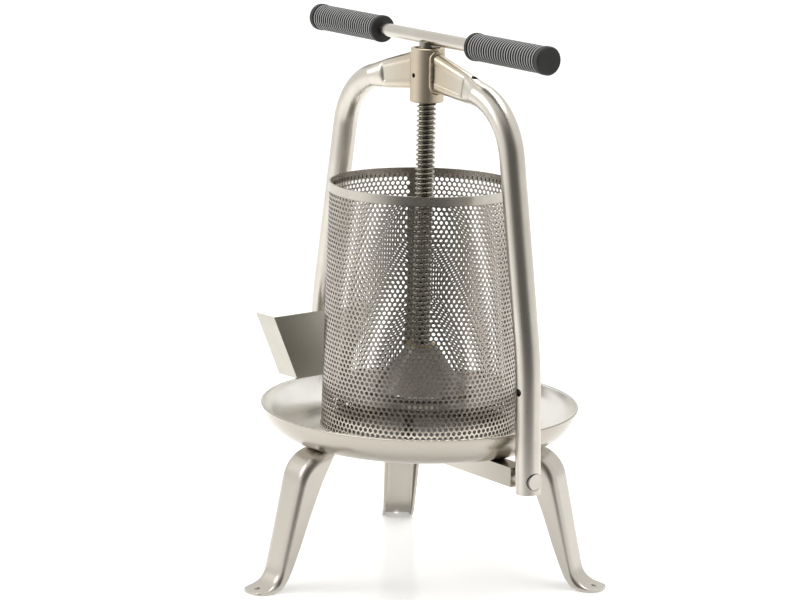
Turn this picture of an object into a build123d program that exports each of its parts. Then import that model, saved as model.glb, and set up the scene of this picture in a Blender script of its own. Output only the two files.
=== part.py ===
from build123d import *
from math import cos, degrees, radians, sin, sqrt, tan
import os

os.makedirs("parts", exist_ok=True)

# Table-top screw press for fruit. Millimetres, +Z up, the origin on the table under the screw.
# +X runs along the crossbar to the near yoke tube, and the yoke stands in the XZ plane.

# Fits and sheet thicknesses
running_gap = 0.05
loose_gap = 0.3
thread_gap = 0.4
pan_sheet = 1.2
leg_sheet = 2.5
guard_sheet = 1.5
basket_sheet = 1.2
band_sheet = 0.9
tube_wall = 1.8

# Drip pan
pan_base_z = 142.0
pan_depth = 33.0
pan_rim_z = pan_base_z + pan_depth
pan_rim_r = 166.0
pan_wall_run = 34.0
pan_floor_r = pan_rim_r - pan_wall_run
pan_bead_r = 1.4
wall_out_share = 0.68
wall_up_share = 0.35
floor_top_z = pan_base_z + pan_sheet

# Legs: one toward -Y, two toward +Y
leg_angles = {"leg_left": 270.0, "leg_right": 30.0, "leg_back": 150.0}
leg_inset = 34.0
leg_flange_r = pan_floor_r - leg_inset
leg_toe_r = 211.0
toe_round = 13.0
leg_top_width = 42.0
leg_foot_width = 34.0
foot_hole_r = 2.75
foot_hole_inset = 10.5
foot_circle_r = leg_toe_r - foot_hole_inset

# Rivets: shank, dome in the pan, formed tail below
rivet_r = 2.5
rivet_head_r = 5.0
rivet_head_h = 2.2
rivet_tail_r = 4.0
rivet_tail_h = 1.5
leg_rivet_inset = 16.0
leg_rivet_circle_r = leg_flange_r + leg_rivet_inset
leg_rivet_edge = 10.0
leg_rivet_offset = leg_top_width / 2 - leg_rivet_edge
bar_rivet_inset = 20.0
bar_rivet_x = pan_floor_r - bar_rivet_inset

# Crossbar and pivot pins
bar_side = 20.0
bar_wall = 2.0
bar_overhang = 3.0
bar_half = pan_rim_r + bar_overhang
pivot_z = pan_base_z - bar_side / 2
pin_r = bar_side / 2 - bar_wall
pin_clearance = 4.0
pin_shank = bar_half - bar_rivet_x - rivet_tail_r - pin_clearance
pin_overhang = 28.0
pin_end_x = bar_half + pin_overhang

# Yoke: two bent tubes with flattened ends on a boss
tube_r = 12.7
tube_foot_drop = 14.0
tube_foot_z = pivot_z - tube_foot_drop
tube_clearance = 2.8
tube_x = bar_half + tube_r + tube_clearance
low_lean = 2.5
high_lean = 10.0
knee_above_rim = 50.0
knee_z = pan_rim_z + knee_above_rim
knee_r = 400.0
shoulder_z = 452.0
shoulder_r = 70.0
arm_lean = 79.0
arm_squeeze = 22.0
arm_height = 31.0
arm_root_height = 42.0
arm_width = 13.5
arm_mark_depth = 0.6
cross_below_knee = 3.0
cross_hole_z = knee_z - cross_below_knee
cross_hole_r = 4.0
vent_r = 3.0
arm_mark_width = 17.0
arm_mark_over = 8.0
boss_r = 17.5
boss_height = 55.4
boss_below_arm = 31.3

# Screw, nut and handle
thread_r = 10.0
thread_root_r = 8.0
thread_pitch = 5.0
thread_crest = 1.4
thread_root = 1.6
thread_flank = (thread_pitch - thread_crest - thread_root) / 2
neck_above_boss = 1.1
screw_neck_r = 9.0
nut_r = 13.5
nut_inset = 3.2
set_screw_r = 2.5
handle_above_boss = 10.1
handle_turn = -4.0
handle_r = 7.0
handle_half = 212.0
grip_r = 13.6
grip_collar_r = 14.2
grip_start = 87.0
grip_cap = 5.0
rib_pitch = 4.3
rib_count = 27
rib_depth = 0.8

# Basket
juice_channel = 29.0
basket_low_r = pan_floor_r - juice_channel
basket_taper = 5.0
basket_top_r = basket_low_r - basket_taper
filling_gap = 44.5
basket_top_z = shoulder_z - filling_gap
band_height = 9.0
seam_angle = 149.4
seam_width = 10.0

# Press plate and its swivel on the screw's foot
plate_clearance = 6.0
plate_r = basket_top_r - plate_clearance
plate_rise = 40.8
plate_low_z = floor_top_z + plate_rise
plate_thickness = 4.0
plate_top_z = plate_low_z + plate_thickness
hub_height = 48.0
hub_top_z = plate_top_z + hub_height
hub_inset = 33.5
hub_flange_r = plate_r - hub_inset
hub_rivet_inset = 5.0
hub_rivet_circle_r = hub_flange_r - hub_rivet_inset
hub_flange = 3.0
hub_flange_top_z = plate_top_z + hub_flange
cone_inset = 10.0
cone_low_r = hub_flange_r - cone_inset
cone_top_r = 18.5
hub_neck_height = 5.0
cone_top_z = hub_top_z - hub_neck_height
cone_sheet = 3.5
hub_neck_r = 15.5
sleeve_r = 13.0
sleeve_depth = 25.0
sleeve_low_z = hub_top_z - sleeve_depth
thrust_washer_r = 15.0
foot_r = thread_root_r
foot_depth = 33.0
foot_low_z = hub_top_z - foot_depth
screw_above_hub = 1.5
screw_low_z = hub_top_z + screw_above_hub
keeper_pin_r = 2.0
keeper_pin_rise = 3.5
keeper_pin_z = foot_low_z + keeper_pin_rise
keeper_pin_length = 24.0

# Splash guard on the pan's rim, before the far tube
guard_angle = 185.0
guard_rim_gap = 7.5
guard_r = pan_rim_r - guard_rim_gap
guard_low_half = 36.0
guard_top_half = 69.0
guard_height = 71.0
guard_top_z = pan_rim_z + guard_height
guard_depth = 31.0
guard_hook_half = 12.0
guard_hook_shift = -8.0


def ring_solid(points):
    profile = make_face(Polyline(*[(r, 0, z) for r, z in points], close=True))
    return revolve(profile, Axis.Z)


def upright(radius, low, top):
    return Pos(0, 0, (low + top) / 2) * Cylinder(radius, top - low)


def box_between(x0, x1, y0, y1, z0, z1):
    return Pos((x0 + x1) / 2, (y0 + y1) / 2, (z0 + z1) / 2) * Box(x1 - x0, y1 - y0, z1 - z0)


def save(shape, name):
    shape.label = name
    export_step(shape, f"parts/{name}.step")


def rivet(low, high):
    shank = upright(rivet_r, low, high)
    tail = upright(rivet_tail_r, low - rivet_tail_h, low)
    dome = upright(rivet_head_r, high, high + rivet_head_h)
    dome = fillet(dome.edges().sort_by(Axis.Z)[-1], rivet_head_h * 0.8)
    return shank + tail + dome


# Places of the rivets
leg_rivet_places = []
for angle in leg_angles.values():
    for side in (-1, 1):
        leg_rivet_places.append(Rot(0, 0, angle) * Pos(leg_rivet_circle_r, side * leg_rivet_offset, 0))
bar_rivet_places = [Pos(-bar_rivet_x, 0, 0), Pos(bar_rivet_x, 0, 0)]
hub_rivet_places = [Rot(0, 0, 60 + 120 * k) * Pos(hub_rivet_circle_r, 0, 0) for k in range(3)]


# Drip pan: flat floor, one round wall, a rolled bead at the rim
def arc_centre(a, b, c):
    d = 2 * (a[0] * (b[1] - c[1]) + b[0] * (c[1] - a[1]) + c[0] * (a[1] - b[1]))
    sa, sb, sc = (p[0] ** 2 + p[1] ** 2 for p in (a, b, c))
    x = (sa * (b[1] - c[1]) + sb * (c[1] - a[1]) + sc * (a[1] - b[1])) / d
    z = (sa * (c[0] - b[0]) + sb * (a[0] - c[0]) + sc * (b[0] - a[0])) / d
    return x, z, sqrt((a[0] - x) ** 2 + (a[1] - z) ** 2)


wall_low = (pan_floor_r, pan_base_z)
wall_top = (pan_rim_r - pan_bead_r, pan_rim_z - pan_bead_r)
wall_out = wall_out_share * (pan_rim_r - pan_floor_r)
wall_mid = (pan_floor_r + wall_out, pan_base_z + wall_up_share * pan_depth)
wall_x, wall_z, wall_bend = arc_centre(wall_low, wall_mid, wall_top)


def wall_point(z, inset):
    return wall_x + sqrt((wall_bend - inset) ** 2 - (z - wall_z) ** 2)


def dish(inset, low, top):
    middle = (low + top) / 2
    outer = ThreePointArc(
        (wall_point(low, inset), 0, low),
        (wall_point(middle, inset), 0, middle),
        (wall_point(top, inset), 0, top),
    )
    start = outer @ 0
    end = outer @ 1
    rest = Polyline(end, (0, 0, top), (0, 0, low), start)
    return revolve(make_face(Curve() + [outer, rest]), Axis.Z)


bead_z = pan_rim_z - pan_bead_r
drip_pan = dish(0, pan_base_z, bead_z) - dish(pan_sheet, floor_top_z, bead_z)
drip_pan += Pos(0, 0, bead_z) * Torus(pan_rim_r - pan_bead_r, pan_bead_r)
for place in leg_rivet_places + bar_rivet_places:
    drip_pan -= place * upright(rivet_r, pan_base_z - 1, floor_top_z + 1)
save(drip_pan, "drip_pan")

# Legs: pressed channels, the web outside, the side flanges turned in
web_slope = 0.227
web_top_inset = 56.5
web_top_x = leg_toe_r - web_top_inset
web_top_bend = 16.0
web_foot_bend = 14.0
lip_steps = [(20, 0), (30, 0.029), (36.5, 0.086), (42, 0.168)]
lip_steps += [(51, 0.33), (62, 0.552), (75, 0.788), (90, 1)]


def rounded_line(points, bends):
    pieces = []
    start = Vector(*points[0])
    for corner, after, bend in zip(points[1:], points[2:], bends):
        corner = Vector(*corner)
        back = (start - corner).normalized()
        on = (Vector(*after) - corner).normalized()
        half = radians(back.get_angle(on) / 2)
        reach = bend / tan(half)
        middle = corner + (back + on).normalized() * (bend / sin(half) - bend)
        pieces.append(Line(start, corner + back * reach))
        pieces.append(ThreePointArc(corner + back * reach, middle, corner + on * reach))
        start = corner + on * reach
    pieces.append(Line(start, Vector(*points[-1])))
    return pieces


def web_line(inset, low_x, high_x):
    top = pan_base_z - inset
    foot = leg_sheet - inset
    side = inset * sqrt(1 + web_slope**2)
    top_x = web_top_x + web_slope * inset - side
    foot_x = web_top_x + web_slope * (pan_base_z - foot) - side
    points = [(low_x, 0, top), (top_x, 0, top), (foot_x, 0, foot), (high_x, 0, foot)]
    return rounded_line(points, [web_top_bend - inset, web_foot_bend + inset])


def leg_slab(pieces):
    return extrude(make_face(Curve() + pieces), leg_top_width, both=True)


def leg_taper(inset):
    top = leg_top_width / 2 - inset
    foot = leg_foot_width / 2 - inset
    corners = [(0, -top, pan_base_z), (0, top, pan_base_z), (0, foot, 0), (0, -foot, 0)]
    return extrude(make_face(Polyline(*corners, close=True)), 2 * leg_toe_r, dir=(1, 0, 0))


def leg_channel():
    under = pan_base_z - leg_sheet
    lip = Spline(*[(leg_toe_r - inward, 0, under * share) for inward, share in lip_steps])
    toe = Polyline((leg_toe_r, 0, leg_sheet), (leg_toe_r, 0, 0), lip @ 0)
    top = Polyline(lip @ 1, (leg_flange_r, 0, under), (leg_flange_r, 0, pan_base_z))
    slab = leg_slab(web_line(0, leg_flange_r, leg_toe_r) + [toe, lip, top]) & leg_taper(0)
    past = leg_toe_r + leg_sheet
    short = leg_flange_r - leg_sheet
    below = -leg_sheet
    inside = Polyline((past, 0, 0), (past, 0, below), (short, 0, below), (short, 0, under))
    hollow = leg_slab(web_line(leg_sheet, short, past) + [inside]) & leg_taper(leg_sheet)
    leg = slab - hollow
    cut = 4 * leg_sheet
    leg -= Pos(foot_circle_r, 0, 0) * Cylinder(foot_hole_r, cut)
    corner_y = leg_foot_width / 2
    for side in (-1, 1):
        leg -= Pos(leg_rivet_circle_r, side * leg_rivet_offset, pan_base_z) * Cylinder(rivet_r, cut)
        corner = Pos(leg_toe_r, side * corner_y, 0) * Box(2 * toe_round, 2 * toe_round, cut)
        round_end = Pos(leg_toe_r - toe_round, side * (corner_y - toe_round), 0)
        leg -= corner - round_end * Cylinder(toe_round, cut)
    return leg


channel = leg_channel()
for name, angle in leg_angles.items():
    save(Rot(0, 0, angle) * channel, name)

leg_rivet = rivet(pan_base_z - leg_sheet, floor_top_z)
save(Compound([place * leg_rivet for place in leg_rivet_places]), "leg_rivets")

# Crossbar: square tube under the pan, a pivot pin pressed into each end
crossbar = Pos(0, 0, pivot_z) * Box(2 * bar_half, bar_side, bar_side)
bar_hollow = bar_side - 2 * bar_wall
crossbar -= Pos(0, 0, pivot_z) * Box(2 * bar_half + 2, bar_hollow, bar_hollow)
for place in bar_rivet_places:
    crossbar -= place * upright(rivet_r, pan_base_z - bar_wall - 1, pan_base_z + 1)
save(crossbar, "crossbar")

bar_rivet = rivet(pan_base_z - bar_wall, floor_top_z)
save(Compound([place * bar_rivet for place in bar_rivet_places]), "crossbar_rivets")

pin_shank_x = bar_half - pin_shank / 2
pin_journal_x = (bar_half + pin_end_x) / 2
pivot_pin = Pos(pin_shank_x, 0, pivot_z) * Box(pin_shank, bar_hollow, bar_hollow)
pivot_pin += Pos(pin_journal_x, 0, pivot_z) * Rot(0, 90, 0) * Cylinder(pin_r, pin_end_x - bar_half)
save(pivot_pin, "pivot_pin_near")
save(Rot(0, 0, 180) * pivot_pin, "pivot_pin_far")


# Splash guard: a fan of sheet with both sides bent out, hooked over the rim
def guard_prism(low_half, top_half, low, top, near, far):
    corners = [(near, -low_half, low), (near, low_half, low), (near, top_half, top), (near, -top_half, top)]
    return extrude(make_face(Polyline(*corners, close=True)), far - near, dir=(1, 0, 0))


guard_flare = (guard_top_half - guard_low_half) / (guard_top_z - pan_rim_z)
guard_inset = guard_sheet * sqrt(1 + guard_flare**2)
cut_low = pan_rim_z - guard_sheet
cut_top = guard_top_z + guard_sheet
cut_low_half = guard_low_half - guard_inset - guard_sheet * guard_flare
cut_top_half = guard_top_half - guard_inset + guard_sheet * guard_flare
guard_far = guard_r + guard_depth
splash_guard = guard_prism(guard_low_half, guard_top_half, pan_rim_z, guard_top_z, guard_r, guard_far)
guard_face = guard_r + guard_sheet
splash_guard -= guard_prism(cut_low_half, cut_top_half, cut_low, cut_top, guard_face, guard_far + 1)
hook_y0 = guard_hook_shift - guard_hook_half
hook_y1 = guard_hook_shift + guard_hook_half
hook_r = pan_rim_r + 2.5
hook_top = pan_rim_z + guard_sheet
splash_guard += box_between(guard_r, hook_r, hook_y0, hook_y1, pan_rim_z, hook_top)
splash_guard += box_between(hook_r - guard_sheet, hook_r, hook_y0, hook_y1, pan_rim_z - 7, hook_top)
save(Rot(0, 0, guard_angle) * splash_guard, "splash_guard")


# Yoke: the tube's middle line in the XZ plane, from the foot to the boss
def lean_step(point, lean, rise):
    return point[0] - rise * tan(radians(lean)), point[1] + rise


def lean_arc(point, lean, end_lean, radius):
    def at(angle):
        x = point[0] - radius * (cos(radians(lean)) - cos(radians(angle)))
        z = point[1] + radius * (sin(radians(angle)) - sin(radians(lean)))
        return x, z

    return at((lean + end_lean) / 2), at(end_lean)


foot_x = tube_x + (pivot_z - tube_foot_z) * tan(radians(low_lean))
tube_foot = (foot_x, tube_foot_z)
knee = lean_step(tube_foot, low_lean, knee_z - tube_foot_z)
knee_mid, knee_end = lean_arc(knee, low_lean, high_lean, knee_r)
shoulder = lean_step(knee_end, high_lean, shoulder_z - knee_end[1])
shoulder_mid, shoulder_end = lean_arc(shoulder, high_lean, arm_lean, shoulder_r)


def in_plane(point):
    return point[0], 0, point[1]


tube_line = Curve() + [
    Line(in_plane(tube_foot), in_plane(knee)),
    ThreePointArc(in_plane(knee), in_plane(knee_mid), in_plane(knee_end)),
    Line(in_plane(knee_end), in_plane(shoulder)),
    ThreePointArc(in_plane(shoulder), in_plane(shoulder_mid), in_plane(shoulder_end)),
]
arm_dir = (-sin(radians(arm_lean)), 0, cos(radians(arm_lean)))
arm_end_z = shoulder_end[1] + (shoulder_end[0] - boss_r) / tan(radians(arm_lean))
boss_low_z = arm_end_z - boss_below_arm
boss_top_z = boss_low_z + boss_height
arm_start = Plane(in_plane(shoulder_end), x_dir=(0, 1, 0), z_dir=arm_dir)
arm_flat = arm_start.offset(arm_squeeze)
arm_root = arm_start.offset(shoulder_end[0])


def tube_body(inset):
    foot_plane = Plane(in_plane(tube_foot), x_dir=(0, 1, 0), z_dir=tube_line % 0)
    radius = tube_r - inset
    round_part = sweep(foot_plane * Circle(radius), tube_line)
    width = arm_width - 2 * inset
    oval = Rot(0, 0, 90) * SlotOverall(arm_height - 2 * inset, width)
    root_oval = Rot(0, 0, 90) * SlotOverall(arm_root_height - 2 * inset, width)
    squeezed = loft([arm_start * Circle(radius), arm_flat * oval])
    arm = loft([arm_flat * oval, arm_root * root_oval])
    return round_part + squeezed + arm


def yoke_tube():
    tube = tube_body(0) - tube_body(tube_wall)
    tube -= upright(boss_r, boss_low_z - boss_r, boss_top_z + boss_r)
    tube -= box_between(-4 * boss_r, 0, -boss_r, boss_r, boss_low_z - boss_r, boss_top_z + boss_r)
    pin_hole = Cylinder(pin_r + running_gap, 4 * tube_r)
    tube -= Pos(tube_x, 0, pivot_z) * Rot(0, 90, 0) * pin_hole
    vent_place = arm_start.offset(arm_squeeze * 0.5) * Pos(0, -tube_r, 0)
    tube -= vent_place * Rot(90, 0, 0) * Cylinder(vent_r, tube_r)
    for side in (-1, 1):
        mark = Box(2 * arm_mark_depth, arm_mark_width, arm_squeeze + arm_mark_over)
        mark = Pos(side * arm_width / 2, 0, arm_squeeze / 2) * mark
        tube -= arm_flat * mark
    return tube


plain_tube = yoke_tube()
cross_x = tube_x - (cross_hole_z - pivot_z) * tan(radians(low_lean))
cross_hole = Rot(90, 0, 0) * Cylinder(cross_hole_r, 4 * tube_r)
save(plain_tube - Pos(cross_x, 0, cross_hole_z) * cross_hole, "yoke_tube_near")
save(Rot(0, 0, 180) * plain_tube, "yoke_tube_far")

# Boss with the nut held by a set screw from the -Y side
set_screw_z = (boss_low_z + boss_top_z) / 2
set_screw_tip = nut_r - 1.2
set_screw_back = boss_r - 1.6
set_screw_hole = Rot(90, 0, 0) * Cylinder(set_screw_r, 2 * (boss_r - set_screw_tip))
set_screw_hole = Pos(0, -boss_r, set_screw_z) * set_screw_hole
yoke_boss = upright(boss_r, boss_low_z, boss_top_z)
yoke_boss = chamfer(yoke_boss.edges().filter_by(GeomType.CIRCLE), 0.8)
yoke_boss -= upright(nut_r, boss_low_z - 1, boss_top_z + 1)
yoke_boss -= set_screw_hole
save(yoke_boss, "yoke_boss")


# Nut: a plain bore that clears the screw's crests
nut_low_z = boss_low_z + nut_inset
nut_top_z = boss_top_z - nut_inset
screw_nut = upright(nut_r, nut_low_z, nut_top_z)
screw_nut -= upright(thread_r + thread_gap, nut_low_z - 1, nut_top_z + 1)
screw_nut -= set_screw_hole
save(screw_nut, "screw_nut")

set_screw_y = -(set_screw_tip + set_screw_back) / 2
nut_set_screw = Rot(90, 0, 0) * Cylinder(set_screw_r, set_screw_back - set_screw_tip)
nut_set_screw = Pos(0, set_screw_y, set_screw_z) * nut_set_screw
set_screw_key = extrude(Plane.XZ.offset(set_screw_back - 1.2) * RegularPolygon(1.4, 6), 4)
nut_set_screw -= Pos(0, 0, set_screw_z) * set_screw_key
save(nut_set_screw, "nut_set_screw")

# Screw: thread ridges a pitch apart, neck with a saddle for the bar, plain foot in the plate's sleeve
screw_neck_z = boss_top_z + neck_above_boss
handle_z = boss_top_z + handle_above_boss
bar_turn = Rot(0, 0, handle_turn)
handle_bar = Pos(0, 0, handle_z) * bar_turn * Rot(0, 90, 0) * Cylinder(handle_r, 2 * handle_half)
saddle_top = handle_z - handle_r / 2
thread_turns = int((screw_neck_z - screw_low_z) / thread_pitch)
journal_r = foot_r - running_gap
screw_points = [(0, foot_low_z), (journal_r, foot_low_z), (journal_r, screw_low_z)]
for k in range(thread_turns):
    crest_z = screw_low_z + k * thread_pitch
    root_z = crest_z + thread_crest + thread_flank
    screw_points += [(thread_r, crest_z), (thread_r, crest_z + thread_crest)]
    screw_points += [(thread_root_r, root_z), (thread_root_r, root_z + thread_root)]
screw_points += [(screw_neck_r, screw_neck_z), (screw_neck_r, saddle_top), (0, saddle_top)]
press_screw = ring_solid(screw_points)
press_screw -= handle_bar
keeper_pin = Pos(0, 0, keeper_pin_z) * Rot(0, 90, 0) * Cylinder(keeper_pin_r, keeper_pin_length)
press_screw -= keeper_pin
save(press_screw, "press_screw")
save(handle_bar, "handle_bar")
save(keeper_pin, "keeper_pin")

keeper_low_z = keeper_pin_z + keeper_pin_r + loose_gap
keeper_washer = upright(sleeve_r, keeper_low_z, sleeve_low_z - loose_gap)
keeper_washer -= upright(foot_r, foot_low_z, hub_top_z)
save(keeper_washer, "keeper_washer")


# Grips: ribbed sleeves closed at the outer end
def grip():
    end = handle_half + grip_cap
    points = [(handle_r, grip_start), (grip_collar_r - 1.0, grip_start), (grip_collar_r, grip_start + 1.0)]
    points += [(grip_collar_r, grip_start + 5.0), (grip_r - rib_depth, grip_start + 5.4)]
    for k in range(rib_count):
        rib = grip_start + 6.0 + k * rib_pitch
        points += [(grip_r - rib_depth, rib), (grip_r, rib + 0.5)]
        points += [(grip_r, rib + rib_pitch - 1.4), (grip_r - rib_depth, rib + rib_pitch - 0.9)]
    points += [(grip_r - rib_depth, end - 7.6), (grip_collar_r, end - 7.2), (grip_collar_r, end - 1.5)]
    points += [(grip_collar_r - 1.5, end), (0, end), (0, handle_half), (handle_r, handle_half)]
    return ring_solid(points)


grip_place = Pos(0, 0, handle_z) * bar_turn
grip_body = grip()
save(grip_place * Rot(0, 90, 0) * grip_body, "grip_near")
save(grip_place * Rot(0, -90, 0) * grip_body, "grip_far")

# Press plate and the conical hub that turns on the screw's foot
press_plate = upright(plate_r, plate_low_z, plate_top_z)
press_plate = fillet(press_plate.edges().filter_by(GeomType.CIRCLE), 1.5)
for place in hub_rivet_places:
    press_plate -= place * upright(rivet_r, plate_low_z - 1, plate_top_z + 1)
save(press_plate, "press_plate")

plate_hub = ring_solid(
    [
        (foot_r, sleeve_low_z),
        (foot_r, hub_top_z),
        (hub_neck_r, hub_top_z),
        (cone_top_r, cone_top_z),
        (cone_low_r, hub_flange_top_z),
        (hub_flange_r, hub_flange_top_z),
        (hub_flange_r, plate_top_z),
        (cone_low_r - cone_sheet, plate_top_z),
        (cone_top_r - cone_sheet, cone_top_z - 3.0),
        (sleeve_r, cone_top_z - 3.0),
        (sleeve_r, sleeve_low_z),
    ]
)
for place in hub_rivet_places:
    plate_hub -= place * upright(rivet_r, plate_top_z - 1, hub_flange_top_z + 1)
save(plate_hub, "plate_hub")

hub_rivet = rivet(plate_low_z, hub_flange_top_z)
save(Compound([place * hub_rivet for place in hub_rivet_places]), "hub_rivets")

thrust_washer = upright(thrust_washer_r, hub_top_z, screw_low_z - running_gap)
thrust_washer -= upright(foot_r + loose_gap, hub_top_z - 1, screw_low_z + 1)
save(thrust_washer, "thrust_washer")


# Basket: conical sheet with a hem band at each end and an overlap seam
def basket_r(z):
    return basket_low_r + (basket_top_r - basket_low_r) * (z - floor_top_z) / (basket_top_z - floor_top_z)


def basket_strip(low, top, inner, outer):
    corners = [(basket_r(low) + inner, low), (basket_r(low) + outer, low)]
    corners += [(basket_r(top) + outer, top), (basket_r(top) + inner, top)]
    return make_face(Polyline(*[(r, 0, z) for r, z in corners], close=True))


low_band_z = floor_top_z + band_height
top_band_z = basket_top_z - band_height
save(revolve(basket_strip(floor_top_z, basket_top_z, -basket_sheet, 0), Axis.Z), "basket_wall")
save(revolve(basket_strip(top_band_z, basket_top_z, 0, band_sheet), Axis.Z), "basket_top_band")
save(revolve(basket_strip(floor_top_z, low_band_z, 0, band_sheet), Axis.Z), "basket_low_band")
seam_turn = degrees(seam_width / basket_low_r)
seam_strip = revolve(basket_strip(low_band_z, top_band_z, 0, basket_sheet), Axis.Z, seam_turn)
save(Rot(0, 0, seam_angle - seam_turn / 2) * seam_strip, "basket_seam")
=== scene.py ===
import math

import bmesh
import bpy
from mathutils import Matrix, Vector


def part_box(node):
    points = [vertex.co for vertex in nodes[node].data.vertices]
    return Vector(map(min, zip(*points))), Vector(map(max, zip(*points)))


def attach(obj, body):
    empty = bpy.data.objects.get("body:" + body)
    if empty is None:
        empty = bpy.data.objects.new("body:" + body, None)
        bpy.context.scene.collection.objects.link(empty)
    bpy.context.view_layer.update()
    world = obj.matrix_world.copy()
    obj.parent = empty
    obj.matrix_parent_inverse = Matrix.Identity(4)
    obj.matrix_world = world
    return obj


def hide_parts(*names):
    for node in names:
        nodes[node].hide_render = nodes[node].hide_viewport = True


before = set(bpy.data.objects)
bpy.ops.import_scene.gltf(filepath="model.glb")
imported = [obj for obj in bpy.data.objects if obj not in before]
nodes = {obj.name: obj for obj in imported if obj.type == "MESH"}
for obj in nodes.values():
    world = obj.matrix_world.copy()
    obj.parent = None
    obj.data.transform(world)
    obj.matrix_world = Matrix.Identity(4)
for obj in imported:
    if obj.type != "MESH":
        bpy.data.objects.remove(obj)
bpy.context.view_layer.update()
scene = bpy.context.scene
crispAngle = 38.0  # edges of sheet and tube bent more than this stay crisp
print("frame loaded:", len(nodes), "nodes")


# a socket that takes part in arithmetic; every step adds one Math node
class Wire:
    def __init__(self, board, socket):
        self.board = board
        self.socket = socket

    def step(self, operation, other=0.0, turned=False):
        first, second = (other, self) if turned else (self, other)
        return self.board.add("ShaderNodeMath", {"operation": operation}, {0: first, 1: second})

    def __add__(self, other):
        return self.step("ADD", other)

    def __sub__(self, other):
        return self.step("SUBTRACT", other)

    def __mul__(self, other):
        return self.step("MULTIPLY", other)

    def __truediv__(self, other):
        return self.step("DIVIDE", other)

    def __mod__(self, other):
        return self.step("FLOORED_MODULO", other)

    def __pow__(self, other):
        return self.step("POWER", other)

    def __radd__(self, other):
        return self.step("ADD", other, True)

    def __rsub__(self, other):
        return self.step("SUBTRACT", other, True)

    def __rmul__(self, other):
        return self.step("MULTIPLY", other, True)

    def __rtruediv__(self, other):
        return self.step("DIVIDE", other, True)


# a node tree, shader or geometry, with one way to put a node in it
class Board:
    def __init__(self, tree):
        self.tree = tree
        self.tree.nodes.clear()

    def add(self, kind, settings=None, sockets=None, out=0):
        node = self.tree.nodes.new(kind)
        for name, value in (settings or {}).items():
            setattr(node, name, value)
        for name, value in (sockets or {}).items():
            self.feed(node.inputs[name], value)
        return Wire(self, node.outputs[out]) if len(node.outputs) else None

    def feed(self, socket, value):
        if isinstance(value, (list, tuple)) and value and isinstance(value[0], Wire):
            for one in value:
                self.feed(socket, one)
        elif isinstance(value, Wire):
            self.tree.links.new(value.socket, socket)
        else:
            socket.default_value = value

    def noise(self, vector, scale, detail=2.0, rough=0.5):
        sockets = {"Vector": vector, "Scale": scale, "Detail": detail, "Roughness": rough}
        return self.add("ShaderNodeTexNoise", None, sockets)

    def between(self, value, low, high):
        sockets = {"Value": value, "From Min": low, "From Max": high}
        return self.add("ShaderNodeMapRange", {"interpolation_type": "SMOOTHSTEP"}, sockets)

    def blend(self, share, first, second):
        return self.add("ShaderNodeMix", {"data_type": "RGBA"}, {0: share, 6: first, 7: second}, 2)

    def dot(self, vector, way):
        return self.add("ShaderNodeVectorMath", {"operation": "DOT_PRODUCT"}, {0: vector, 1: way}, "Value")

    def vector(self, x, y, z):
        return self.add("ShaderNodeCombineXYZ", None, {0: x, 1: y, 2: z})

    def split(self, vector):
        cut = self.add("ShaderNodeSeparateXYZ", None, {0: vector})
        return [Wire(self, part) for part in cut.socket.node.outputs]

    def coat(self, sockets):
        skin = self.add("ShaderNodeBsdfPrincipled", None, sockets)
        self.add("ShaderNodeOutputMaterial", None, {"Surface": skin})

    def shapeOf(self, holder):
        return self.add("GeometryNodeObjectInfo", None, {"Object": holder}, "Geometry")


# Finishes

def rgba(tone):
    return (tone[0], tone[1], tone[2], 1.0)


def newMaterial(name):
    material = bpy.data.materials.new(name)
    material.use_nodes = True
    return material, Board(material.node_tree)


def grainVector(board, look, place):
    x, y, z = board.split(place)
    fine, long = look["fine"], look["long"]
    away = (x * x + y * y) ** 0.5 + 1e-5  # from the screw's axis, never nought
    if look["grain"] == "round":
        grainAt = board.vector(x / away * long, y / away * long, (away + z) * fine)
    elif look["grain"] == "along":
        grainAt = board.vector(x * fine, y * fine, z * long)
    else:
        grainAt = board.vector(x * long, y * fine, z * fine)
    return grainAt, (x, y, z), away


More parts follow.
